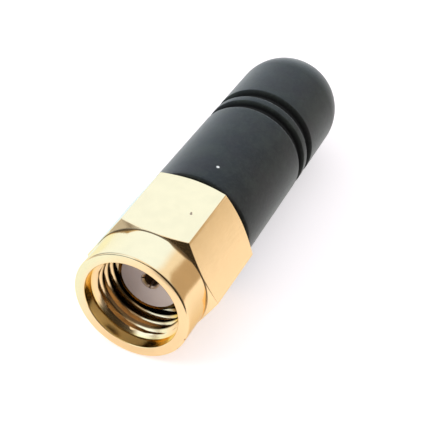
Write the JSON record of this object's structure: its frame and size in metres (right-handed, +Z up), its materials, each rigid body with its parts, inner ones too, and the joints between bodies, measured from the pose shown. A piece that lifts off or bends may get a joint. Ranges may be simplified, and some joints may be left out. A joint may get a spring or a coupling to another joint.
{
  "type": "stub antenna",
  "caption": "Short stub antenna: a gold-plated hexagonal coupling nut that spins on a coaxial plug, and a black moulded cover with a domed end and two grooves.",
  "frame": {"origin": "on the antenna's axis at the connector's reference plane, the front face of the ferrule and of the dielectric", "axes": "+X runs along the axis from the mouth of the nut to the domed tip, +Z is up with the antenna lying on a flat of its nut"},
  "size_m": [0.0284, 0.0092, 0.008],
  "materials": {
    "gold_plate": "polished gold plating on turned brass",
    "phosphor_bronze": "drawn spring wire",
    "silicone": "smooth dark silicone",
    "ptfe": "turned white fluoropolymer",
    "solder": "satin tin solder",
    "coil_wire": "coiled copper-alloy wire",
    "cover_rubber": "matt moulded elastomer"
  },
  "bodies": {
    "antenna": {"connector_body": "gold_plate", "gasket": "silicone", "front_dielectric": "ptfe", "rear_insulator": "ptfe", "centre_contact": "gold_plate", "solder_joint": "solder", "radiating_coil": "coil_wire", "cover": "cover_rubber"},
    "ring": {"retaining_ring": "phosphor_bronze"},
    "nut": {"coupling_nut": "gold_plate"}
  },
  "joints": [
    {"name": "nut_play", "type": "slide", "parent": "antenna", "child": "ring", "axis": [-1, 0, 0], "range_m": [0, 0.0003]},
    {"name": "nut_spin", "type": "hinge", "parent": "ring", "child": "nut", "pos_m": [0, 0, 0], "axis": [1, 0, 0], "continuous": true}
  ]
}
